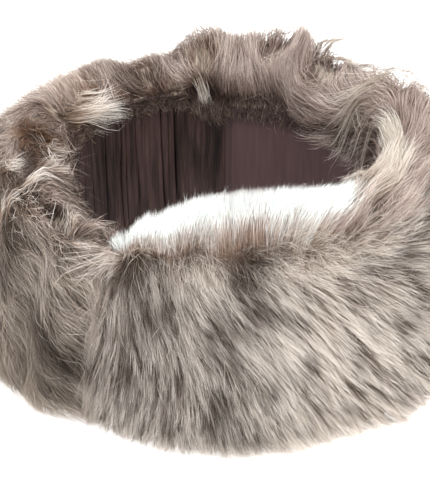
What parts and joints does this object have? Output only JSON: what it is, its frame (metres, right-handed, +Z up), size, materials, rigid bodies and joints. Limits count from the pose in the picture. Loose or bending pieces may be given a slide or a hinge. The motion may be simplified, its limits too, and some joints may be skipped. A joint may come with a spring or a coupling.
{
  "type": "sheepskin headband",
  "caption": "Deep-fur sheepskin headband: a plain long-wool front panel and a gathered back panel round an open, cloth-lined oval for the head.",
  "frame": {"origin": "centre of the head oval on the plane the lower fur rests on", "axes": "+Z up along the ring's axis, -Y toward the wearer's face, +Y toward the gathered back"},
  "size_m": [0.2828, 0.3147, 0.161],
  "materials": {
    "front_fur": "long straight wool, cream and grey with charcoal mottling over taupe roots",
    "back_fur": "bunched long wool, darker and more mottled",
    "plain_lining": "smooth dark mauve-brown woven cloth",
    "gathered_lining": "gathered dark mauve-brown satin with vertical pleats"
  },
  "bodies": {
    "root": {"fur_front_panel": "front_fur", "fur_back_panel": "back_fur", "lining_front": "plain_lining", "lining_back": "gathered_lining"}
  },
  "joints": []
}
